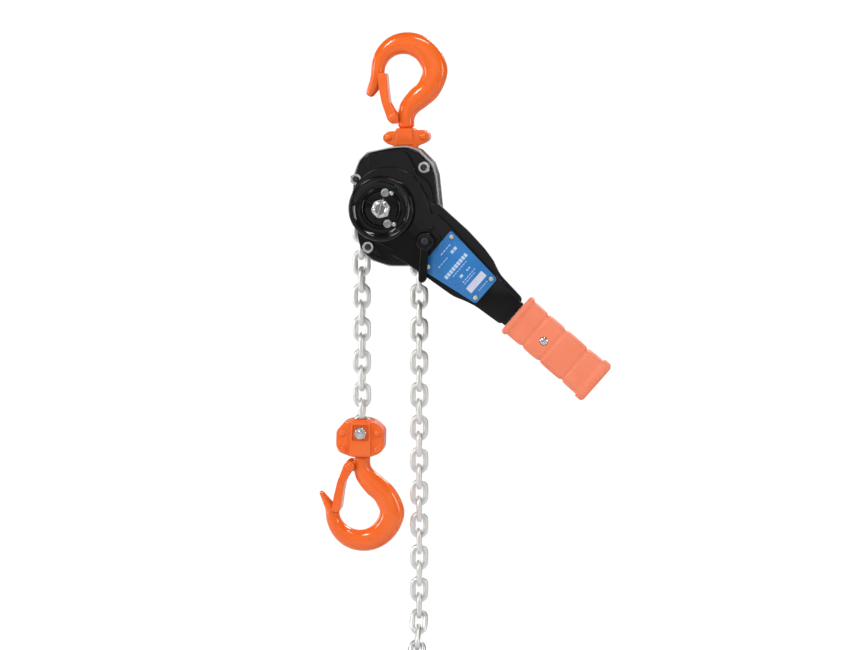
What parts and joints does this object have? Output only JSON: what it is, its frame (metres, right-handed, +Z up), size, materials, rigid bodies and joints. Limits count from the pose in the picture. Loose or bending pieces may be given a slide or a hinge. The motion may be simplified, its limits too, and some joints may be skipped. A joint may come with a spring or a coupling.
{
  "type": "lever chain hoist",
  "caption": "Lever chain hoist (come along winch) with swivel hooks, sprung latches, ratchet lever, hand wheel and a coiled free chain.",
  "frame": {"origin": "the seat of the top hook, inside the top of its bowl", "axes": "+Z up, -Y towards the hand wheel and lever, +X towards the side that the lever points to"},
  "size_m": [0.3184, 0.1105, 0.8311],
  "materials": {
    "black_paint": "gloss black paint",
    "zinc": "bright zinc plate",
    "chain_zinc": "bright zinc plate",
    "coil_zinc": "bright zinc plate",
    "steel": "oiled machined steel",
    "hook_orange": "satin orange paint",
    "grip_rubber": "matt salmon-orange rubber",
    "plate_blue": "printed blue foil",
    "friction_brown": "matt friction lining"
  },
  "bodies": {
    "housing": {"front_side_plate": "zinc", "rear_side_plate": "zinc", "brake_cover": "black_paint", "gear_cover": "black_paint", "stay_bolt_1": "zinc", "stay_bolt_2": "zinc", "stay_bolt_3": "zinc", "cover_nut_1": "zinc", "cover_nut_2": "zinc", "cover_nut_3": "zinc", "cover_stud": "zinc", "front_bearing": "steel", "rear_bearing": "steel", "chain_stripper": "steel", "top_pin": "steel", "guide_pin": "steel", "pawl_pin_1": "steel", "pawl_pin_2": "steel"},
    "top_yoke": {"top_yoke_front": "hook_orange", "top_yoke_rear": "hook_orange"},
    "top_hook": {"top_hook": "hook_orange", "top_latch_pin": "hook_orange"},
    "top_latch": {"top_latch": "hook_orange"},
    "sheave": {"load_sheave": "steel", "load_gear": "steel", "chain_over_sheave": "chain_zinc"},
    "upper_disc_gear": {"upper_disc_gear": "steel"},
    "lower_disc_gear": {"lower_disc_gear": "steel"},
    "drive_shaft": {"drive_shaft": "steel", "friction_hub": "steel", "inner_friction_disc": "friction_brown", "outer_friction_disc": "friction_brown", "castle_nut": "zinc"},
    "hand_wheel": {"drive_nut": "steel", "hand_wheel": "black_paint", "stop_bolt_1": "zinc", "stop_bolt_2": "zinc"},
    "ratchet_disc": {"ratchet_disc": "steel"},
    "ratchet_pawl_1": {"ratchet_pawl_1": "steel"},
    "ratchet_pawl_2": {"ratchet_pawl_2": "steel"},
    "guide_roller": {"guide_roller": "steel"},
    "lever": {"lever_front_shell": "black_paint", "lever_rear_shell": "black_paint", "lever_grip": "grip_rubber", "grip_screw": "zinc", "name_plate": "plate_blue"},
    "selector": {"selector_knob": "black_paint", "changeover_pawl": "steel"},
    "load_run": {"load_chain": "chain_zinc"},
    "free_run": {"free_chain": "chain_zinc", "free_chain_coil": "coil_zinc", "chain_end_ring": "zinc"},
    "bottom_yoke": {"bottom_yoke_front": "hook_orange", "bottom_yoke_rear": "hook_orange", "chain_bolt": "zinc", "chain_bolt_nut": "zinc"},
    "bottom_hook": {"bottom_hook": "hook_orange", "bottom_latch_pin": "hook_orange"},
    "bottom_latch": {"bottom_latch": "hook_orange"}
  },
  "joints": [
    {"name": "top_yoke_swing", "type": "hinge", "parent": "housing", "child": "top_yoke", "pos_m": [0.0032, 0, -0.108], "axis": [0, 1, 0], "range_deg": [-18, 18]},
    {"name": "top_hook_swivel", "type": "hinge", "parent": "top_yoke", "child": "top_hook", "pos_m": [0.0032, 0, -0.079], "axis": [0, 0, 1], "continuous": true},
    {"name": "top_latch_open", "type": "hinge", "parent": "top_hook", "child": "top_latch", "pos_m": [-0.0102, 0, -0.0675], "axis": [0, 1, 0], "range_deg": [0, 28], "stiffness_Nm_per_rad": 0.06, "springref_deg": -22.92},
    {"name": "hoist_drive", "type": "hinge", "parent": "housing", "child": "sheave", "pos_m": [-0.0166, 0, -0.163], "axis": [0, 1, 0], "range_deg": [-36, 72], "deforming": ["chain_over_sheave"]},
    {"name": "load_chain_lift", "type": "slide", "parent": "housing", "child": "load_run", "axis": [0, 0, 1], "range_m": [-0.0186, 0.0368], "deforming": ["load_chain"]},
    {"name": "free_chain_feed", "type": "slide", "parent": "housing", "child": "free_run", "axis": [0, 0, 1], "range_m": [-0.0368, 0.0186], "deforming": ["free_chain"]},
    {"name": "upper_disc_gear_turn", "type": "hinge", "parent": "housing", "child": "upper_disc_gear", "pos_m": [-0.0166, 0, -0.139], "axis": [0, 1, 0], "range_deg": [-217, 109]},
    {"name": "lower_disc_gear_turn", "type": "hinge", "parent": "housing", "child": "lower_disc_gear", "pos_m": [-0.0166, 0, -0.187], "axis": [0, 1, 0], "range_deg": [-217, 109]},
    {"name": "drive_shaft_turn", "type": "hinge", "parent": "housing", "child": "drive_shaft", "pos_m": [-0.0166, 0, -0.163], "axis": [0, 1, 0], "range_deg": [-325, 649]},
    {"name": "brake_screw", "type": "hinge", "parent": "drive_shaft", "child": "hand_wheel", "pos_m": [-0.0166, 0, -0.163], "axis": [0, 1, 0], "range_deg": [0, 40]},
    {"name": "ratchet_disc_turn", "type": "hinge", "parent": "housing", "child": "ratchet_disc", "pos_m": [-0.0166, 0, -0.163], "axis": [0, 1, 0], "continuous": true},
    {"name": "ratchet_pawl_1_lift", "type": "hinge", "parent": "housing", "child": "ratchet_pawl_1", "pos_m": [-0.0072, 0, -0.1278], "axis": [0, 1, 0], "range_deg": [0, 12], "stiffness_Nm_per_rad": 0.02, "springref_deg": -28.65},
    {"name": "ratchet_pawl_2_lift", "type": "hinge", "parent": "housing", "child": "ratchet_pawl_2", "pos_m": [0.0043, 0, -0.193], "axis": [0, 1, 0], "range_deg": [0, 12], "stiffness_Nm_per_rad": 0.02, "springref_deg": -28.65},
    {"name": "guide_roller_turn", "type": "hinge", "parent": "housing", "child": "guide_roller", "pos_m": [0.0004, 0, -0.2025], "axis": [0, 1, 0], "continuous": true},
    {"name": "lever_swing", "type": "hinge", "parent": "housing", "child": "lever", "pos_m": [-0.0166, 0, -0.163], "axis": [0, 1, 0], "continuous": true},
    {"name": "selector_turn", "type": "hinge", "parent": "lever", "child": "selector", "pos_m": [0.02943, 0, -0.19718], "axis": [0, 1, 0], "range_deg": [-28, 28]},
    {"name": "bottom_yoke_swing", "type": "hinge", "parent": "load_run", "child": "bottom_yoke", "pos_m": [-0.04573, 0, -0.41], "axis": [0, 1, 0], "range_deg": [-12, 12]},
    {"name": "bottom_hook_swivel", "type": "hinge", "parent": "bottom_yoke", "child": "bottom_hook", "pos_m": [-0.04573, 0, -0.437], "axis": [0, 0, 1], "continuous": true},
    {"name": "bottom_latch_open", "type": "hinge", "parent": "bottom_hook", "child": "bottom_latch", "pos_m": [-0.05912, 0, -0.4485], "axis": [0, -1, 0], "range_deg": [0, 28], "stiffness_Nm_per_rad": 0.06, "springref_deg": -22.92}
  ],
  "couplings": [
    {"joint": "load_chain_lift", "follows": "hoist_drive", "m_per_rad": 0.029125},
    {"joint": "free_chain_feed", "follows": "hoist_drive", "m_per_rad": -0.029125},
    {"joint": "upper_disc_gear_turn", "follows": "hoist_drive", "ratio": -3},
    {"joint": "lower_disc_gear_turn", "follows": "hoist_drive", "ratio": -3},
    {"joint": "drive_shaft_turn", "follows": "hoist_drive", "ratio": 9}
  ]
}
